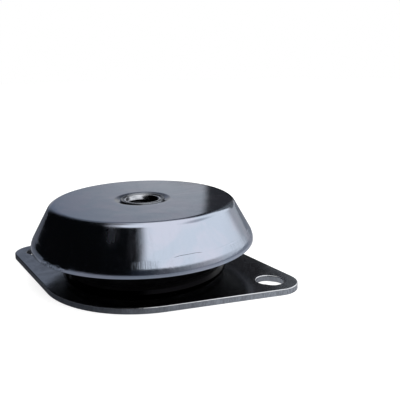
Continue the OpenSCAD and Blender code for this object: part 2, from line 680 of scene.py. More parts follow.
@dataclass(frozen=True)
class CapZinc(Finish):
    """Bright zinc on polished deep-drawn steel, slightly blue."""

    name: str = "cap_bright_zinc"
    blue: Colour = (0.54, 0.61, 0.73)
    lilac: Colour = (0.60, 0.63, 0.75)
    # Painted shade: faces that look down, such as the rim's underside and the inside of the cap
    underside_painted_shade: Colour = (0.05, 0.05, 0.055)
    underside_shade_lean: Span = (-0.85, -0.97)
    # Painted shade in the dimple's slope
    dimple_painted_shade: Colour = (0.36, 0.38, 0.42)
    dimple_shade_inner_r: Span = (9.2, 9.8)
    dimple_shade_outer_r: Span = (12.2, 11.2)
    dimple_shade_z: Span = (31.0, 31.2)
    smooth: float = 0.10
    satin: float = 0.20
    smear_at: Point = (6.9, -38.8, 28.6)
    smear_reach: Span = (26.0, 1.0)
    smear_rough: float = 0.18
    ring_z: float = 20.4
    ring_w: float = 0.4
    ring_depth: float = 0.03
    streak_side: Point = (0.892, 0.452, 0.0)
    streak_reach: Span = (-8.0, -4.5)
    streak_depth: float = 0.12
    wave_depth: float = 0.10
    skirt_z: Span = (18.4, 17.2)
    skirt_depth: float = 0.03
    dent_side: Point = (-0.327, -0.945, 0.0)
    dent_reach: Span = (45.5, 46.1)
    dent_z: Span = (17.3, 16.6)
    dent_depth: float = 0.6
    groove_side: Point = (0.7385, -0.6743, 0.0)
    groove_reach: Span = (43.78, 43.9)
    groove_z: float = 20.8
    groove_w: Span = (0.3, 0.05)
    groove_depth: float = 0.035
    grain_depth: float = 0.0012

    def dress(self, nodes: Nodes, shader: bpy.types.Node) -> None:
        """Lays cloudy zinc over draw marks, dents and fine scratches.

        Args:
            nodes: the material's nodes.
            shader: its shader.
        """
        nodes.feed(shader.inputs["Base Color"], self.tone(nodes))
        nodes.feed(shader.inputs["Roughness"], self.gloss(nodes))
        nodes.feed(shader.inputs["Normal"], self.relief(nodes))

    def tone(self, nodes: Nodes) -> Socket:
        """Cloudy zinc, with painted shade on faces that look down, such as the sheared edge under the rim,
        and in the dimple's slope.

        Args:
            nodes: the material's nodes.

        Returns:
            The colour.
        """
        place = nodes.place()
        cloud = nodes.noise(place, 0.07, 3.0, 0.55, 0.6)
        tone = nodes.mix(nodes.ramp(cloud, 0.4, 0.62), self.blue, self.lilac)
        # Painted shade: faces that look down, under the rim and inside the cap, are made near black
        tone = nodes.mix(nodes.ramp(nodes.lean(), *self.underside_shade_lean), tone, self.underside_painted_shade)
        radius = nodes.radius(place)
        # Painted shade: the dimple's slope and a narrow band of the top round it are darkened
        dimple = nodes.times(
            nodes.ramp(radius, *self.dimple_shade_inner_r),
            nodes.ramp(radius, *self.dimple_shade_outer_r, top=0.8),
            nodes.ramp(nodes.height(), *self.dimple_shade_z),
        )
        return nodes.mix(dimple, tone, self.dimple_painted_shade)

    def gloss(self, nodes: Nodes) -> Socket:
        """Roughness with fine upright smears and one wiped spot under the top edge.

        Args:
            nodes: the material's nodes.

        Returns:
            The roughness.
        """
        place = nodes.place()
        smear = nodes.noise(nodes.around(place, 30.0, 0.12), 1.0, 4.0, 0.6)
        grain = nodes.noise(place, 1.4, 4.0, 0.6)
        mixed = nodes.math("ADD", nodes.times(smear, 0.6), nodes.times(grain, 0.4))
        rough = nodes.ramp(mixed, 0.35, 0.7, self.smooth, self.satin)
        apart = nodes.vector("SUBTRACT", place, self.smear_at)
        far = nodes.dot(apart, nodes.stretched(apart, (1.0, 1.0, 0.3)))
        far = nodes.math("ADD", far, nodes.times(mixed, 12.0))
        return nodes.math("ADD", rough, nodes.ramp(far, *self.smear_reach, top=self.smear_rough))

    def relief(self, nodes: Nodes) -> Socket:
        """The die's ring with draw marks below it, dents in the skirt and one thin groove.

        Args:
            nodes: the material's nodes.

        Returns:
            The normal.
        """
        place, height = nodes.place(), nodes.height()
        streak = nodes.noise(nodes.around(place, 64.0, 0.03), 1.0, 4.0, 0.75)
        patch = nodes.ramp(nodes.noise(nodes.around(place, 5.0, 0.0), 1.0), 0.40, 0.60, bottom=0.3)
        low = nodes.ramp(height, self.ring_z + self.ring_w / 2, self.ring_z - self.ring_w)
        low = nodes.times(low, nodes.ramp(nodes.dot(place, self.streak_side), *self.streak_reach))
        relief = nodes.bump(nodes.times(streak, patch, low), self.streak_depth)
        ring = nodes.ramp(height, self.ring_z - self.ring_w, self.ring_z + self.ring_w)
        relief = nodes.bump(ring, self.ring_depth, relief)
        relief = nodes.bump(nodes.noise(place, 0.09, 1.0), self.wave_depth, relief)
        skirt = nodes.times(nodes.noise(place, 0.9, 3.0, 0.6), nodes.ramp(height, *self.skirt_z))
        relief = nodes.bump(skirt, self.skirt_depth, relief)
        dent = nodes.times(
            nodes.ramp(nodes.dot(place, self.dent_side), *self.dent_reach),
            nodes.ramp(height, *self.dent_z),
            nodes.noise(place, 0.9, 1.0),
        )
        relief = nodes.bump(dent, self.dent_depth, relief)
        off = nodes.math("ABSOLUTE", nodes.math("SUBTRACT", height, self.groove_z))
        groove = nodes.times(
            nodes.ramp(off, *self.groove_w),
            nodes.ramp(nodes.dot(place, self.groove_side), *self.groove_reach),
        )
        relief = nodes.bump(groove, -self.groove_depth, relief)
        return nodes.bump(nodes.noise(place, 5.0, 4.0, 0.6), self.grain_depth, relief)


@dataclass(frozen=True)
class PlateZinc(Finish):
    """Satin zinc on thick pressed sheet, mottled, with sheared edges."""

    name: str = "plate_zinc"
    light: Colour = (0.50, 0.53, 0.58)
    dull: Colour = (0.38, 0.40, 0.44)
    fleck: Colour = (0.75, 0.76, 0.78)
    torn: Colour = (0.22, 0.23, 0.25)
    torn_share: float = 0.45
    side_lean: Span = (0.35, 0.1)
    slot_x: float = 55.0
    # Slot walls: torn punched steel, laid on evenly as painted shade inside the slots
    slot_wall_torn_and_shade_r: Span = (6.6, 6.2)
    slot_torn_and_shade_share: float = 0.5
    # Press-rolled edge: polished, partly as painted highlight, with painted shade at the left end
    polished: Colour = (0.86, 0.88, 0.92)
    polished_low_lean: Span = (0.15, 0.4)
    polished_high_lean: Span = (0.985, 0.9)
    rolled_edge_shade_x: Span = (-45.0, -25.0)
    # Painted shade at the cone's foot under the rubber's lip
    foot_painted_shade: Colour = (0.006, 0.006, 0.007)
    foot_shade_r: Span = (34.7, 34.1)
    smooth: float = 0.13
    satin: float = 0.22
    wave_depth: float = 0.03
    grain_depth: float = 0.0012

    def dress(self, nodes: Nodes, shader: bpy.types.Node) -> None:
        """Lays the zinc over a slightly wavy sheet with a fine grain.

        Args:
            nodes: the material's nodes.
            shader: its shader.
        """
        place = nodes.place()
        grain = nodes.noise(place, 1.2, 5.0, 0.6)
        wave = nodes.bump(nodes.noise(place, 0.16, 1.0), self.wave_depth)
        nodes.feed(shader.inputs["Base Color"], self.tone(nodes))
        nodes.feed(shader.inputs["Roughness"], nodes.ramp(grain, 0.36, 0.68, self.smooth, self.satin))
        nodes.feed(shader.inputs["Normal"], nodes.bump(grain, self.grain_depth, wave))

    def tone(self, nodes: Nodes) -> Socket:
        """Mottled zinc, torn on its cut sides, with painted shade in the slots and at the cone's foot;
        polished where the press rolled its edge, with painted highlight on the right and painted shade at
        the left end.

        Args:
            nodes: the material's nodes.

        Returns:
            The colour.
        """
        place = nodes.place()
        blotch = nodes.noise(place, 0.12, 5.0, 0.62, 0.8)
        tone = nodes.mix(nodes.ramp(blotch, 0.38, 0.66), self.light, self.dull)
        tone = nodes.mix(nodes.times(nodes.specks(place, 0.9, 0.11), 0.5), tone, self.fleck)
        lean = nodes.lean()
        side = nodes.ramp(lean, *self.side_lean)
        tear = nodes.noise(nodes.stretched(place, (2.2, 2.2, 0.35)), 1.0, 3.0, 0.65)
        tone = nodes.mix(nodes.times(side, nodes.ramp(tear, 0.40, 0.62), self.torn_share), tone, self.torn)
        x, y, _ = nodes.split(place)
        # The slot walls get the torn colour evenly, partly as torn punched steel and partly as painted shade
        # inside the slots
        slot = nodes.joined(nodes.math("SUBTRACT", nodes.math("ABSOLUTE", x), self.slot_x), y, 0.0)
        wall = nodes.ramp(nodes.radius(slot), *self.slot_wall_torn_and_shade_r, top=self.slot_torn_and_shade_share)
        tone = nodes.mix(nodes.times(side, wall), tone, self.torn)
        # The press-rolled top edge: bright as painted highlight on the right, torn-dark as painted shade
        # towards the left end
        rolled = nodes.times(
            nodes.ramp(lean, *self.polished_low_lean), nodes.ramp(lean, *self.polished_high_lean)
        )
        edge = nodes.mix(nodes.ramp(x, *self.rolled_edge_shade_x), self.torn, self.polished)
        tone = nodes.mix(rolled, tone, edge)
        # Painted shade: the cone's foot under the rubber's lip is near black
        return nodes.mix(nodes.ramp(nodes.radius(place), *self.foot_shade_r), tone, self.foot_painted_shade)


@dataclass(frozen=True)
class BushZinc(Finish):
    """Zinc on turned steel, with fine turning marks, painted shade in its mouth and a painted highlight on
    its rim.
    """

    name: str = "bush_turned_zinc"
    light: Colour = (0.66, 0.68, 0.73)
    dull: Colour = (0.44, 0.46, 0.50)
    rolled: Colour = (0.30, 0.315, 0.34)
    rolled_r: Span = (7.6, 8.0)
    # Painted shade in the bore: deep down and on its right and near sides
    bore_painted_shade: Colour = (0.02, 0.02, 0.023)
    bore_shade_right: Point = (0.892, 0.452, 0.0)
    bore_shade_near: Point = (0.452, -0.892, 0.0)
    bore_shade_reach: Span = (2.0, 4.0)
    bore_shade_z: Span = (30.3, 29.7)
    bore_shade_r: Span = (7.1, 6.9)
    # Painted highlight on the rim of the mouth
    bright: Colour = (0.92, 0.93, 0.96)
    rim_highlight_inner_r: Span = (6.8, 7.0)
    rim_highlight_outer_r: Span = (7.5, 7.2)
    smooth: float = 0.14
    satin: float = 0.34
    ring_depth: float = 0.006

    def dress(self, nodes: Nodes, shader: bpy.types.Node) -> None:
        """Lays rings from the lathe over the faces.

        Args:
            nodes: the material's nodes.
            shader: its shader.
        """
        outline = nodes.joined(nodes.radius(nodes.place()), 0.0, nodes.height())
        ring = nodes.noise(outline, 7.0, 3.0, 0.7)
        nodes.feed(shader.inputs["Base Color"], self.tone(nodes))
        nodes.feed(shader.inputs["Roughness"], nodes.ramp(ring, 0.3, 0.7, self.smooth, self.satin))
        nodes.feed(shader.inputs["Normal"], nodes.bump(ring, self.ring_depth))

    def tone(self, nodes: Nodes) -> Socket:
        """Zinc with a dull rolled lip, a painted highlight on the rim, and painted shade deep down and on
        two sides of the mouth.

        Args:
            nodes: the material's nodes.

        Returns:
            The colour.
        """
        place = nodes.place()
        radius = nodes.radius(place)
        stain = nodes.noise(place, 0.35, 3.0, 0.6)
        tone = nodes.mix(nodes.ramp(stain, 0.45, 0.7), self.light, self.dull)
        tone = nodes.mix(nodes.ramp(radius, *self.rolled_r), tone, self.rolled)
        # Painted shade: the bore is near black deep down and on its right and near sides
        bore_shade = nodes.math("MAXIMUM", nodes.dot(place, self.bore_shade_right), nodes.dot(place, self.bore_shade_near))
        bore_shade = nodes.ramp(nodes.math("ADD", bore_shade, nodes.times(stain, 2.0)), *self.bore_shade_reach)
        bore_shade = nodes.math("MAXIMUM", bore_shade, nodes.ramp(nodes.height(), *self.bore_shade_z))
        tone = nodes.mix(nodes.times(bore_shade, nodes.ramp(radius, *self.bore_shade_r)), tone, self.bore_painted_shade)
        # Painted highlight: a ring round the mouth is made near white
        rim = nodes.times(nodes.ramp(radius, *self.rim_highlight_inner_r), nodes.ramp(radius, *self.rim_highlight_outer_r))
        return nodes.mix(rim, tone, self.bright)


@dataclass(frozen=True)
class WasherZinc(Finish):
    """Satin zinc on stamped steel."""

    name: str = "washer_zinc"
    light: Colour = (0.52, 0.53, 0.56)
    dull: Colour = (0.36, 0.37, 0.40)
    smooth: float = 0.22
    satin: float = 0.4
    grain_depth: float = 0.008

    def dress(self, nodes: Nodes, shader: bpy.types.Node) -> None:
        """Lays a fine mottle over the faces.

        Args:
            nodes: the material's nodes.
            shader: its shader.
        """
        place = nodes.place()
        blotch = nodes.ramp(nodes.noise(place, 0.25, 5.0, 0.6, 0.5), 0.4, 0.65)
        grain = nodes.noise(place, 3.0, 4.0, 0.65)
        nodes.feed(shader.inputs["Base Color"], nodes.mix(blotch, self.light, self.dull))
        nodes.feed(shader.inputs["Roughness"], nodes.ramp(grain, 0.35, 0.7, self.smooth, self.satin))
        nodes.feed(shader.inputs["Normal"], nodes.bump(grain, self.grain_depth))


@dataclass(frozen=True)
class BlackRubber(Finish):
    """Moulded black rubber with a slight bloom."""

    name: str = "moulded_rubber"
    roughness: float = 0.5
    metallic: float = 0.0
    black: Colour = (0.003, 0.003, 0.0035)
    bloom: Colour = (0.008, 0.008, 0.009)
    smooth: float = 0.42
    satin: float = 0.62
    grain_depth: float = 0.02

    def dress(self, nodes: Nodes, shader: bpy.types.Node) -> None:
        """Lays a grey bloom and the mould's fine grain over the rubber.

        Args:
            nodes: the material's nodes.
            shader: its shader.
        """
        place = nodes.place()
        cloud = nodes.ramp(nodes.noise(place, 0.16, 4.0, 0.6, 0.4), 0.42, 0.7)
        grain = nodes.noise(place, 4.0, 4.0, 0.6)
        nodes.feed(shader.inputs["Base Color"], nodes.mix(cloud, self.black, self.bloom))
        nodes.feed(shader.inputs["Roughness"], nodes.ramp(grain, 0.35, 0.7, self.smooth, self.satin))
        nodes.feed(shader.inputs["Normal"], nodes.bump(grain, self.grain_depth))
        shader.inputs["Specular IOR Level"].default_value = 0.3
        shader.inputs["IOR"].default_value = 1.15


# The mount's pieces


@dataclass
class Sheets:
    """The faces that the cap, the cone and the rubber share."""

    total_h: float = 32.0
    cap_top_d: float = 75.6
    cap_crease_d: float = 92.3
    rim_d: float = 93.0
    rim_z: float = 14.4
    skirt_h: float = 2.7
    cap_t: float = 2.0
    top_bend_r: float = 3.8
    skirt_bend_r: float = 7.0
    dimple_d: float = 23.0
    dimple_h: float = 0.8
    dimple_slope_w: float = 2.2
    dimple_bend_r: float = 1.0
    dimple_edge_r: float = 0.5
    spigot_d: float = 16.0
    plate_t: float = 2.5
    cone_foot_d: float = 67.0
    cone_top_d: float = 51.0
    flange_z: float = 18.5
    flange_hole_d: float = 32.0
    foot_bend_r: float = 1.2
    shoulder_bend_r: float = 4.0
    join_r: float = 40.0

    def cap_face(self) -> list[Corner]:
        """The cap's outer face from the edge of its hole to its rim.

        Returns:
            Its corners in order.
        """
        floor = self.total_h - self.dimple_h
        half = self.dimple_d / 2
        return [
            Corner(self.spigot_d / 2, floor),
            Corner(half - self.dimple_slope_w, floor, self.dimple_bend_r, 5),
            Corner(half, self.total_h, self.cap_t + self.dimple_edge_r, 5),
            Corner(self.cap_top_d / 2, self.total_h, self.top_bend_r, 14),
            Corner(self.cap_crease_d / 2, self.rim_z + self.skirt_h, self.skirt_bend_r, 12),
            Corner(self.rim_d / 2, self.rim_z),
        ]

    def cone_face(self) -> list[Corner]:
        """The upper face of the cone from the flange's hole to the flat plate.

        Returns:
            Its corners in order.
        """
        return [
            Corner(self.flange_hole_d / 2, self.flange_z),
            Corner(self.cone_top_d / 2, self.flange_z, self.shoulder_bend_r, 8),
            Corner(self.cone_foot_d / 2, self.plate_t, self.foot_bend_r, 8),
            Corner(self.join_r, self.plate_t),
        ]


@dataclass
class Cap:
    """The drawn cap: a flat top with a dimple, a sloping side and a short skirt."""

    sheets: Sheets
    material: bpy.types.Material
    rim_round: float = 0.45
    flare_z: float = 15.8
    flare_bend: float = 7.0
    inner_round: float = 0.2
    pieces: list[bpy.types.Object] = field(default_factory=list)

    def build(self) -> None:
        """Spins the sheet's outline. The skirt ends upright and its sheared rim is rounded outside."""
        outer = self.sheets.cap_face()
        inner = shifted(outer, self.sheets.cap_t)
        foot = on_line(inner[4], inner[5], self.sheets.rim_z)
        inner[5] = Corner(foot.r, foot.z, self.inner_round, 3)
        flare = on_line(outer[4], outer[5], self.flare_z)
        outer[5:] = [
            Corner(flare.r, flare.z, self.flare_bend, 6),
            Corner(flare.r, self.sheets.rim_z, self.rim_round, 5),
        ]
        mesh = turned(outer + inner[::-1], steps=320)
        piece = finished(mesh, "cap_shell", self.material)
        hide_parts("top_cap")
        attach(piece, Body.TOP.value)
        self.pieces.append(piece)


@dataclass(frozen=True)
class Arc:
    """A flat arc about an upright axis.

    Args:
        x: the centre's place along the plate.
        y: its place across the plate.
        radius: the arc's radius.
        start: the angle where it starts, in radians from +X.
        sweep: the angle that it covers.
        steps: how many pieces it is made of.
    """

    x: float
    y: float
    radius: float
    start: float
    sweep: float
    steps: int


@dataclass
class BasePlate:
    """The rhombic plate with its pressed-up cone."""

    sheets: Sheets
    material: bpy.types.Material
    slot_spacing: float = 110.0
    slot_l: float = 11.0
    slot_w: float = 9.0
    end_r: float = 9.0
    end_shift: float = 2.0
    plate_w: float = 87.0
    side_r: float = 42.5
    top_round: float = 0.4
    under_round: float = 0.15
    round_steps: int = 5
    rim_strip: float = 0.8
    turn_steps: int = 192
    pieces: list[bpy.types.Object] = field(default_factory=list)

    def outline(self) -> tuple[Arc, ...]:
        """The rhombus's two round ends and two round sides.

        Returns:
            Its arcs in order.
        """
        end = self.slot_spacing / 2 + self.end_shift
        side = self.plate_w / 2 - self.side_r
        apart = math.hypot(end, side)
        lean = math.atan2(-side, end) + math.acos((self.side_r - self.end_r) / apart)
        return (
            Arc(end, 0.0, self.end_r, -lean, 2 * lean, 32),
            Arc(0.0, side, self.side_r, lean, math.pi - 2 * lean, 96),
            Arc(-end, 0.0, self.end_r, math.pi - lean, 2 * lean, 32),
            Arc(0.0, -side, self.side_r, math.pi + lean, math.pi - 2 * lean, 96),
        )

    def slot(self, x: float) -> tuple[Arc, ...]:
        """The two round ends of a fixing slot.

        Args:
            x: the place of the slot's middle along the plate.

        Returns:
            Its arcs in order.
        """
        half, radius = (self.slot_l - self.slot_w) / 2, self.slot_w / 2
        return (
            Arc(x + half, 0.0, radius, -math.pi / 2, math.pi, 32),
            Arc(x - half, 0.0, radius, math.pi / 2, math.pi, 32),
        )

    def loop(self, bm: bmesh.types.BMesh, arcs: Sequence[Arc]) -> None:
        """Draws a closed line of arcs, joined by straight edges.

        Args:
            bm: the mesh that takes the line.
            arcs: the arcs in order.
        """
        ends: list[tuple[bmesh.types.BMVert, bmesh.types.BMVert]] = []
        for arc in arcs:
            centre = Vector((arc.x, arc.y, 0.0))
            way = Vector((math.cos(arc.start), math.sin(arc.start), 0.0))
            first = bm.verts.new(centre + arc.radius * way)
            made = spun(bm, [first], arc.sweep, arc.steps, centre)
            last = next(item for item in made["geom_last"] if isinstance(item, bmesh.types.BMVert))
            ends.append((first, last))
        for (_, last), (first, _) in zip(ends, ends[1:] + ends[:1]):
            bm.edges.new((last, first))

    def flat(self) -> bmesh.types.BMesh:
        """The flat plate with its two slots, its rounded rims and an opening for the cone.

        Returns:
            Its mesh, in millimetres.
        """
        bm = bmesh.new()
        self.loop(bm, self.outline())
        for x in (-self.slot_spacing / 2, self.slot_spacing / 2):
            self.loop(bm, self.slot(x))
        ring = bmesh.ops.create_circle(
            bm, cap_ends=False, segments=self.turn_steps, radius=self.sheets.join_r
        )
        join = list({edge for vert in ring["verts"] for edge in vert.link_edges})
        rims = list(bm.edges)
        bmesh.ops.triangle_fill(bm, use_beauty=True, use_dissolve=False, edges=rims, normal=AXIS)
        bmesh.ops.edgeloop_fill(bm, edges=join)
        low = list(bm.faces)
        made = bmesh.ops.extrude_face_region(bm, geom=low)
        high = [item for item in made["geom"] if isinstance(item, bmesh.types.BMFace)]
        self.rounded(bm, high, self.sheets.plate_t, self.top_round, 1.0)
        self.rounded(bm, low, 0.0, self.under_round, -1.0)
        discs = [face for face in high + low if len(face.verts) == self.turn_steps]
        bmesh.ops.delete(bm, geom=discs, context="FACES")
        return bm

    def rounded(
        self, bm: bmesh.types.BMesh, faces: list[bmesh.types.BMFace], level: float, radius: float, way: float
    ) -> None:
        """Draws the plate's upper or lower face in from its rims, along a quarter round.

        Args:
            bm: the plate's mesh.
            faces: the face's parts.
            level: the height at which it ends.
            radius: the round's radius.
            way: 1 for the upper face and -1 for the lower one.
        """
        done = 0.0
        self.lift(faces, level - way * radius)
        for k in range(1, self.round_steps + 1):
            angle = math.pi / 2 * k / self.round_steps
            reach = radius * (1 - math.cos(angle))
            self.inset(bm, faces, reach - done)
            self.lift(faces, level - way * radius * (1 - math.sin(angle)))
            done = reach
        self.inset(bm, faces, self.rim_strip)

    @staticmethod
    def inset(bm: bmesh.types.BMesh, faces: list[bmesh.types.BMFace], width: float) -> None:
        """Adds a strip of faces along the rims of a flat face."""
        bmesh.ops.inset_region(
            bm, faces=faces, thickness=width, depth=0.0, use_boundary=True, use_even_offset=True
        )

    @staticmethod
    def lift(faces: list[bmesh.types.BMFace], level: float) -> None:
        """Moves flat faces to a height."""
        for vert in {vert for face in faces for vert in face.verts}:
            vert.co.z = level

    def build(self) -> None:
        """Joins the flat plate and the spun cone."""
        mesh = self.flat()
        outer = self.sheets.cone_face()
        inner = shifted(outer, self.sheets.plate_t)
        add_mesh(mesh, turned(outer[::-1] + inner, self.turn_steps, closed=False))
        bmesh.ops.remove_doubles(mesh, verts=mesh.verts, dist=0.002)
        piece = finished(mesh, "plate_sheet", self.material)
        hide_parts("base_plate")
        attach(piece, Body.BASE.value)
        self.pieces.append(piece)


@dataclass
class Bush:
    """The threaded bush, rolled over the cap and the washer."""

    sheets: Sheets
    washer: Washer
    material: bpy.types.Material
    thread_major_d: float = 12.2
    thread_core_d: float = 10.2
    pitch: float = 1.75
    bush_d: float = 19.0
    lip_d: float = 18.6
    groove_d: float = 16.3
    groove_h: float = 0.4
    countersink_d: float = 14.0
    countersink_h: float = 2.4
    land_drop: float = 0.2
    tail_d: float = 18.4
    tail_h: float = 0.8
    mouth_round: float = 0.5
    land_round: float = 0.15
    lip_round: float = 0.35
    shoulder_round: float = 0.2
    end_round: float = 0.1
    ridge: tuple[float, ...] = (0.0, 0.0, 0.30, 0.72, 1.0, 1.0, 0.72, 0.30)
    seam: float = 0.06
    turn_steps: int = 144
    pieces: list[bpy.types.Object] = field(default_factory=list)

    def body_profile(self) -> list[Corner]:
        """The outside of the bush from the thread's upper mouth to its lower one.

        Returns:
            Its corners in order.
        """
        sheets = self.sheets
        top = sheets.total_h
        floor = top - sheets.dimple_h
        land = top - self.land_drop
        bore = self.thread_major_d / 2
        slope = (self.countersink_d - self.thread_core_d) / 2 / self.countersink_h
        mouth_z = land - (self.countersink_d / 2 - bore) / slope
        spigot = sheets.spigot_d / 2
        end = self.washer.low_z - self.tail_h
        return [
            Corner(bore, mouth_z),
            Corner(self.countersink_d / 2, land, self.mouth_round, 5),
            Corner((self.countersink_d + self.groove_d) / 4, land, self.land_round, 3),
            Corner(self.groove_d / 2, top - self.groove_h, self.land_round, 4),
            Corner((self.groove_d + self.lip_d) / 4, top, self.land_round, 4),
            Corner(self.lip_d / 2, top, self.lip_round, 6),
            Corner(self.lip_d / 2, floor),
            Corner(spigot, floor),
            Corner(spigot, floor - sheets.cap_t),
            Corner(self.bush_d / 2, floor - sheets.cap_t, self.shoulder_round, 3),
            Corner(self.bush_d / 2, self.washer.high_z, self.shoulder_round, 3),
            Corner(spigot, self.washer.high_z),
            Corner(spigot, self.washer.low_z),
            Corner(self.tail_d / 2, self.washer.low_z),
            Corner(self.tail_d / 2, end, self.lip_round, 6),
            Corner(bore + self.end_round, end, self.end_round, 2),
            Corner(bore, end + self.end_round),
        ]

    def thread(self, low: float, high: float) -> bmesh.types.BMesh:
        """The inside wall with its helical ridge, which fades out at both ends.

        Args:
            low: height of the wall's lower end.
            high: height of its upper end.

        Returns:
            The open wall, whose two ends are plain circles.
        """
        bm = bmesh.new()
        major, core = self.thread_major_d / 2, self.thread_core_d / 2
        rows = len(self.ridge)
        step = self.pitch / rows
        start = low - self.pitch * 1.5
        chain = []
        for k in range(math.ceil((high - low) / step) + 3 * rows):
            radius = major - (major - core) * self.ridge[k % rows]
            chain.append(bm.verts.new((radius, 0.0, start + k * step)))
        for a, b in zip(chain, chain[1:]):
            bm.edges.new((a, b))
        rise = self.pitch / self.turn_steps
        spun(bm, list(bm.verts) + list(bm.edges), FULL_TURN, self.turn_steps, rise=rise)
        bmesh.ops.remove_doubles(bm, verts=bm.verts, dist=0.002)
        for height, way in ((low, -1.0), (high, 1.0)):
            bmesh.ops.bisect_plane(
                bm,
                geom=list(bm.verts) + list(bm.edges) + list(bm.faces),
                dist=0.0001,
                plane_co=(0, 0, height),
                plane_no=(0, 0, way),
                clear_outer=True,
            )
        for vert in bm.verts:
            fade = min(1.0, (vert.co.z - low) / self.pitch, (high - vert.co.z) / self.pitch)
            radius = vert.co.xy.length
            wanted = major + (radius - major) * max(0.0, fade)
            vert.co.x *= wanted / radius
            vert.co.y *= wanted / radius
        return bm

    def build(self) -> None:
        """Spins the outside and joins the threaded wall to it."""
        corners = self.body_profile()
        body = turned(corners, self.turn_steps, longest=1.0, closed=False)
        add_mesh(body, self.thread(corners[-1].z + self.seam, corners[0].z - self.seam))
        middle = (corners[0].z + corners[-1].z) / 2
        rims = [edge for edge in body.edges if edge.is_boundary]
        for upper in (True, False):
            pair = [edge for edge in rims if (edge.verts[0].co.z > middle) is upper]
            bmesh.ops.bridge_loops(body, edges=pair)
        piece = finished(body, "bush_turned", self.material, sharp=50.0)
        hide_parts("threaded_bush")
        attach(piece, Body.TOP.value)
        self.pieces.append(piece)


@dataclass
class Washer:
    """The stamped rebound washer under the flange."""

    sheets: Sheets
    material: bpy.types.Material
    washer_d: float = 44.0
    low_z: float = 9.2
    high_z: float = 12.2
    low_round: float = 0.7
    high_round: float = 0.3
    pieces: list[bpy.types.Object] = field(default_factory=list)

    def build(self) -> None:
        """Spins the washer, rounded on the side where the tool entered."""
        half, hole = self.washer_d / 2, self.sheets.spigot_d / 2
        corners = [
            Corner(hole, self.low_z),
            Corner(half, self.low_z, self.low_round, 6),
            Corner(half, self.high_z, self.high_round, 3),
            Corner(hole, self.high_z),
        ]
        piece = finished(turned(corners, steps=192, longest=2.5), "washer_stamped", self.material)
        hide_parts("rebound_washer")
        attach(piece, Body.TOP.value)
        self.pieces.append(piece)


@dataclass
class Rubber:
    """The moulded rubber: a ring between cone and cap, and a wrap round the flange."""

    sheets: Sheets
    material: bpy.types.Material
    top_z: float = 27.5
    rim_recess: float = 1.0
    lip_d: float = 67.6
    lip_z: float = 6.6
    lip_round: float = 0.7
    foot_z: float = 4.4
    bump_t: float = 3.0
    bump_d: float = 54.0
    lining_t: float = 3.0
    pad_t: float = 1.7
    pad_d: float = 45.0
    wrap_round: float = 1.0
    wall_sag: float = 1.3
    under_sag: float = 0.9
    top_sag: float = 1.8
    bond_t: float = 0.02
    pieces: list[bpy.types.Object] = field(default_factory=list)

    def ring_profile(self) -> list[Corner]:
        """The ring's outline: up the cone, over its hollow top, down the cap and along the wall.

        Returns:
            Its corners in order.
        """
        sheets = self.sheets
        cone = sheets.cone_face()
        inner = shifted(sheets.cap_face(), sheets.cap_t + self.bond_t)
        foot = on_line(cone[1], cone[2], self.foot_z)
        bump_end = Corner(self.bump_d / 2, sheets.flange_z + self.bump_t)
        grip_top = on_line(inner[3], inner[4], self.top_z)
        grip_end = on_line(inner[4], inner[5], sheets.rim_z + self.rim_recess)
        lip = Corner(self.lip_d / 2, self.lip_z, self.lip_round, 5)
        return [
            foot,
            cone[1],
            bump_end,
            *bowed(bump_end, grip_top, self.top_sag),
            grip_top,
            inner[4],
            grip_end,
            *bowed(grip_end, lip, self.wall_sag, 14),
            lip,
            *bowed(lip, foot, self.under_sag),
        ]

    def wrap_profile(self) -> list[Corner]:
        """The outline of the bump stop, the hole's lining and the rebound pad.

        Returns:
            Its corners in order.
        """
        sheets = self.sheets
        hole = sheets.flange_hole_d / 2
        under = sheets.flange_z - sheets.plate_t
        lining = hole - self.lining_t
        bump = sheets.flange_z + self.bump_t
        return [
            sheets.cone_face()[1],
            Corner(hole, sheets.flange_z),
            Corner(hole, under),
            Corner(self.pad_d / 2, under),
            Corner(self.pad_d / 2, under - self.pad_t, self.wrap_round, 5),
            Corner(lining, under - self.pad_t, self.wrap_round, 5),
            Corner(lining, bump, self.wrap_round, 5),
            Corner(self.bump_d / 2, bump),
        ]

    def build(self) -> None:
        """Spins both pieces: the ring between the plate and the cap, and the wrap."""
        ring = finished(turned(self.ring_profile(), steps=192), "rubber_ring", self.material, sharp=60.0)
        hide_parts("rubber_element")
        wrap_mesh = turned(self.wrap_profile(), steps=144, longest=2.5)
        wrap = finished(wrap_mesh, "rubber_wrap", self.material)
        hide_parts("rubber_element")
        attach(wrap, Body.BASE.value)
        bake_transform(ring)
        self.pieces.extend((ring, wrap))


# The studio


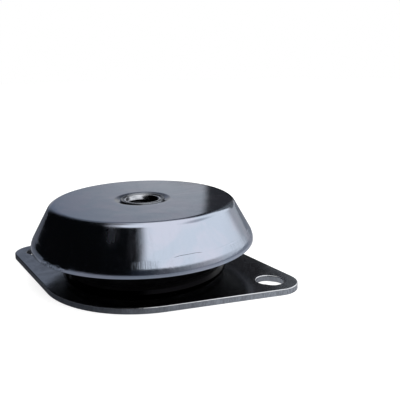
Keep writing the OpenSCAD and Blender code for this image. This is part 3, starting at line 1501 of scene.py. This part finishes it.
@dataclass(frozen=True)
class Card:
    """A curved panel that only the metal's reflections see.

    Args:
        name: the panel's name.
        left: where it starts, in degrees round from the camera towards the picture's right.
        right: where it ends.
        low: elevation of its lower edge in degrees.
        high: elevation of its upper edge at the left end.
        tone: its colour.
        fall: how many degrees the upper edge drops towards the right end.
        soft: how many degrees its edges take to fade: left, right, low and high.
        cover: how much of what lies behind it is hidden.
        distance: how far it stands from the mount, in millimetres.
    """

    name: str
    left: float
    right: float
    low: float
    high: float
    tone: Colour
    fall: float = 0.0
    soft: tuple[float, float, float, float] = (6.0, 6.0, 4.0, 5.0)
    cover: float = 1.0
    distance: float = 900.0

    def shade(self, turn: float, rise: float) -> float:
        """How much the card hides at a point.

        Args:
            turn: degrees round from its left end.
            rise: elevation in degrees.

        Returns:
            Its cover there, from 0 to 1.
        """
        wide = self.right - self.left
        top = self.high - self.fall * turn / wide
        depths = (turn, wide - turn, rise - self.low, top - rise)
        share = self.cover
        for depth, soft in zip(depths, self.soft):
            part = min(1.0, max(0.0, depth / soft))
            share *= part * part * (3 - 2 * part)
        return share

    def material(self) -> bpy.types.Material:
        """A glowing surface that the mesh's fade attribute makes clear towards its edges.

        Returns:
            The material.
        """
        material, nodes = fresh(self.name)
        mixer = nodes.add("MixShader")
        nodes.feed(mixer.inputs[0], nodes.add("Attribute", attribute_name="fade").outputs["Fac"])
        nodes.feed(mixer.inputs[1], nodes.add("BsdfTransparent").outputs[0])
        nodes.feed(mixer.inputs[2], nodes.glow(self.tone))
        nodes.show(mixer.outputs[0])
        return material


@dataclass(frozen=True)
class Lamp:
    """A square lamp that no reflection shows.

    Args:
        name: the lamp's name.
        turn: degrees round from the camera towards the picture's right.
        rise: elevation in degrees.
        away: its distance from the mount in millimetres.
        size: its width in millimetres.
        power: its power in watts.
    """

    name: str
    turn: float
    rise: float
    away: float
    size: float
    power: float


@dataclass(frozen=True)
class TableGrey:
    """The painted light and shade of a sheet on the floor that only the metal's reflections see.

    Close to the plate the sheet is dark on the left and bright on the right. Farther out it is
    dim in front, paler at both sides, and it darkens towards its edge.
    """

    name: str = "table_grey"
    bright: Colour = (0.49, 0.50, 0.52)
    pale: Colour = (0.25, 0.262, 0.29)
    dim: Colour = (0.06, 0.065, 0.077)
    dark: Colour = (0.055, 0.058, 0.066)
    near_stretch: Point = (0.68, 1.0, 1.0)
    near_r: Span = (50.0, 56.0)
    near_side: Span = (-30.0, 45.0)
    ring_r: Span = (45.0, 140.0)
    ring_side: Span = (-90.0, 90.0)
    left_share: Span = (-0.35, -0.85)
    right_share: Span = (0.16, 0.85)
    edge_r: Span = (500.0, 820.0)

    def made(self, right: Point) -> bpy.types.Material:
        """Makes the glowing material.

        Args:
            right: the direction of the picture's right.

        Returns:
            The material.
        """
        material, nodes = fresh(self.name)
        nodes.show(nodes.glow(self.tone(nodes, right)))
        return material

    def tone(self, nodes: Nodes, right: Point) -> Socket:
        """The sheet's colour at each place.

        Args:
            nodes: the material's nodes.
            right: the direction of the picture's right.

        Returns:
            The colour.
        """
        place = nodes.place()
        away = nodes.radius(place)
        side = nodes.dot(place, right)
        near = nodes.mix(nodes.ramp(side, *self.near_side), self.dark, self.bright)
        ring = nodes.mix(nodes.ramp(side, *self.ring_side, 0.12, 0.85), self.pale, self.bright)
        share = nodes.math("DIVIDE", side, away)
        left_pale = nodes.ramp(share, *self.left_share, top=0.35)
        pale = nodes.math("MAXIMUM", left_pale, nodes.ramp(share, *self.right_share))
        tone = nodes.mix(nodes.ramp(away, *self.ring_r), ring, nodes.mix(pale, self.dim, self.pale))
        close = nodes.radius(nodes.stretched(place, self.near_stretch))
        tone = nodes.mix(nodes.ramp(close, *self.near_r), near, tone)
        return nodes.mix(nodes.ramp(away, *self.edge_r), tone, self.dark)


@dataclass
class Studio:
    """Floor, lamps, panels, world and camera."""

    camera_place: Point = (101.21, -199.54, 86.76)
    camera_angles: Point = (75.890, 0.847, 20.484)
    camera_lens: float = 49.18
    sensor: float = 36.0
    floor_r: float = 2500.0
    floor_drop: float = 0.02
    floor_fade_r: Span = (150.0, 500.0)
    floor_near: float = 0.70
    floor_far: float = 0.75
    paper: Colour = (0.6, 0.6, 0.6)
    white: Colour = (1.0, 1.0, 1.0)
    ambient: float = 0.5
    table_r: float = 860.0
    table_drop: float = 0.01
    lamp_centre: Point = (0.0, 0.0, 15.0)
    lamps: tuple[Lamp, ...] = (
        Lamp("key", turn=50.0, rise=50.0, away=900.0, size=700.0, power=3.4),
        Lamp("top", turn=0.0, rise=85.0, away=1000.0, size=900.0, power=2.4),
    )
    card_step: float = 2.0
    cards: tuple[Card, ...] = (
        Card("flag_left", -185.0, 5.0, -8.0, 80.0, (0.002, 0.0022, 0.0025),
             soft=(35.0, 13.0, 3.0, 16.0)),
        Card("flag_front", -16.0, 155.0, -8.0, 38.0, (0.020, 0.024, 0.033),
             fall=26.0, soft=(10.0, 165.0, 3.0, 12.0), distance=880.0),
        Card("flag_behind", 134.0, 162.0, 16.0, 60.0, (0.030, 0.030, 0.033),
             soft=(6.0, 2.0, 3.0, 8.0), distance=140.0),
        Card("plate_dark", 133.0, 172.0, 12.0, 25.5, (0.010, 0.010, 0.012),
             soft=(5.0, 6.0, 2.0, 2.0), distance=105.0),
        Card("tip_grey", 119.0, 141.0, 16.0, 50.0, (0.11, 0.115, 0.12),
             soft=(4.0, 4.0, 3.0, 8.0), distance=144.0),
        Card("roof_back", 140.0, 222.0, 26.0, 58.0, (0.09, 0.10, 0.12),
             soft=(12.0, 36.0, 3.0, 14.0), distance=850.0),
        Card("grey_back", 112.0, 197.0, -8.0, 28.0, (0.455, 0.46, 0.465),
             soft=(14.0, 22.0, 3.0, 16.0), distance=860.0),
        Card("edge_back", 170.0, 209.0, -8.0, 8.0, (0.36, 0.37, 0.39),
             soft=(4.0, 12.0, 3.0, 3.0), distance=855.0),
        Card("dim_back", 150.0, 218.0, -8.0, 32.0, (0.175, 0.195, 0.24),
             soft=(12.0, 18.0, 3.0, 6.0), distance=870.0),
        Card("cloud", 58.0, 128.0, 36.0, 66.0, (0.30, 0.32, 0.35),
             soft=(26.0, 26.0, 14.0, 12.0), cover=0.7),
    )

    def camera(self) -> None:
        """Places the camera at the photograph's angle."""
        lens = bpy.data.cameras.new("camera")
        lens.lens = self.camera_lens
        lens.sensor_width = self.sensor
        lens.clip_start = 0.005
        lens.clip_end = 20.0
        eye = bpy.data.objects.new("camera", lens)
        eye.location = Vector(self.camera_place) * MM
        eye.rotation_euler = [math.radians(angle) for angle in self.camera_angles]
        bpy.context.collection.objects.link(eye)
        bpy.context.scene.camera = eye

    @staticmethod
    def seen(nodes: Nodes) -> Socket:
        """1 for what the camera and the reflections see, and 0 for the light on other surfaces."""
        path = nodes.add("LightPath")
        return nodes.math("MAXIMUM", path.outputs["Is Camera Ray"], path.outputs["Is Glossy Ray"])

    def world(self) -> None:
        """A white surround for the camera and reflections, and a plain level for the rest."""
        world = bpy.data.worlds.new("surround")
        world.use_nodes = True
        bpy.context.scene.world = world
        nodes = Nodes(world.node_tree)
        back = nodes.add("Background")
        nodes.feed(back.inputs["Color"], self.white)
        nodes.feed(back.inputs["Strength"], nodes.ramp(self.seen(nodes), 0.0, 1.0, self.ambient, 1.0))
        nodes.show(back.outputs[0], "OutputWorld")

    def floor(self) -> None:
        """A plain near-white floor that keeps the mount's shadow."""
        material, nodes = fresh("floor_white")
        paper = nodes.add("BsdfDiffuse")
        nodes.feed(paper.inputs["Color"], self.paper)
        away = nodes.radius(nodes.place())
        level = nodes.ramp(away, *self.floor_fade_r, self.floor_near, self.floor_far)
        total = nodes.add("AddShader")
        nodes.feed(total.inputs[0], paper.outputs[0])
        nodes.feed(total.inputs[1], nodes.glow(self.white, nodes.times(self.seen(nodes), level)))
        nodes.show(total.outputs[0])
        self.disc("floor", material, self.floor_r, self.floor_drop)

    def table(self) -> None:
        """Lays the grey sheet on the floor."""
        material = TableGrey().made(tuple(self.heading(90.0, 0.0)))
        self.reflected(self.disc("table", material, self.table_r, self.table_drop))

    @staticmethod
    def disc(name: str, material: bpy.types.Material, radius: float, drop: float) -> bpy.types.Object:
        """Makes a flat disc a little below the mount.

        Args:
            name: the disc's name.
            material: its surface.
            radius: its radius in millimetres.
            drop: how far it lies below the plate's underside, in millimetres.

        Returns:
            The disc.
        """
        bm = bmesh.new()
        bmesh.ops.create_circle(bm, cap_ends=True, segments=96, radius=radius)
        bmesh.ops.translate(bm, vec=(0, 0, -drop), verts=bm.verts)
        return finished(bm, name, material)

    def hang(self, lamp: Lamp) -> None:
        """Hangs a lamp so that it faces the mount.

        Args:
            lamp: the lamp.
        """
        data = bpy.data.lights.new(lamp.name, "AREA")
        data.shape = "SQUARE"
        data.size = lamp.size * MM
        data.energy = lamp.power
        hung = bpy.data.objects.new(lamp.name, data)
        heading = self.heading(lamp.turn, lamp.rise)
        hung.location = (Vector(self.lamp_centre) + heading * lamp.away) * MM
        hung.rotation_euler = heading.to_track_quat("Z", "Y").to_euler()
        hung.visible_glossy = False
        bpy.context.collection.objects.link(hung)

    def camera_turn(self) -> float:
        """The camera's direction from the mount, in radians from +X."""
        return math.atan2(self.camera_place[1], self.camera_place[0])

    def heading(self, turn: float, rise: float) -> Vector:
        """A direction seen from the mount.

        Args:
            turn: degrees round from the camera towards the picture's right.
            rise: elevation in degrees.

        Returns:
            The direction, one unit long.
        """
        flat = self.camera_turn() + math.radians(turn)
        up = math.radians(rise)
        return Vector((math.cos(up) * math.cos(flat), math.cos(up) * math.sin(flat), math.sin(up)))

    def panel(self, card: Card) -> None:
        """Builds one card as a patch of a ball around the mount.

        Args:
            card: the card.
        """
        bm = bmesh.new()
        rise_steps = max(4, math.ceil((card.high - card.low) / self.card_step))
        turn_steps = max(4, math.ceil((card.right - card.left) / self.card_step))
        chain = []
        for k in range(rise_steps + 1):
            rise = card.low + (card.high - card.low) * k / rise_steps
            chain.append(bm.verts.new(self.heading(card.left, rise) * card.distance))
        for a, b in zip(chain, chain[1:]):
            bm.edges.new((a, b))
        spun(bm, list(bm.verts) + list(bm.edges), math.radians(card.right - card.left), turn_steps)
        fade = bm.verts.layers.float.new("fade")
        for vert in bm.verts:
            rise = math.degrees(math.asin(vert.co.z / card.distance))
            turn = math.degrees(math.atan2(vert.co.y, vert.co.x) - self.camera_turn()) - card.left
            # The degree of slack keeps the left end at 0 where rounding puts it just below
            vert[fade] = card.shade((turn + 1.0) % 360.0 - 1.0, rise)
        self.reflected(finished(bm, card.name, card.material()))

    @staticmethod
    def reflected(piece: bpy.types.Object) -> None:
        """Hides a panel from all but reflections.

        Args:
            piece: the panel.
        """
        piece.visible_camera = False
        piece.visible_diffuse = False
        piece.visible_shadow = False
        piece.visible_transmission = False

    def build(self) -> None:
        """Sets up everything around the mount."""
        self.camera()
        self.world()
        self.floor()
        self.table()
        for lamp in self.lamps:
            self.hang(lamp)
        for card in self.cards:
            self.panel(card)


def report(pieces: Iterable[bpy.types.Object]) -> None:
    """Logs each piece with its size in faces."""
    for piece in pieces:
        LOG.info("%s: %d faces", piece.name, len(piece.data.polygons))


def main() -> None:
    """Builds the studio and the mount's pieces in order."""
    bpy.context.scene.view_settings.view_transform = "Standard"
    Studio().build()
    sheets = Sheets()
    washer = Washer(sheets, WasherZinc().made())
    parts = (
        Cap(sheets, CapZinc().made()),
        BasePlate(sheets, PlateZinc().made()),
        Bush(sheets, washer, BushZinc().made()),
        washer,
        Rubber(sheets, BlackRubber().made()),
    )
    for part in parts:
        part.build()
        report(part.pieces)


if __name__ == "__main__":
    logging.basicConfig(level=logging.INFO, format="%(name)s: %(message)s")
    main()
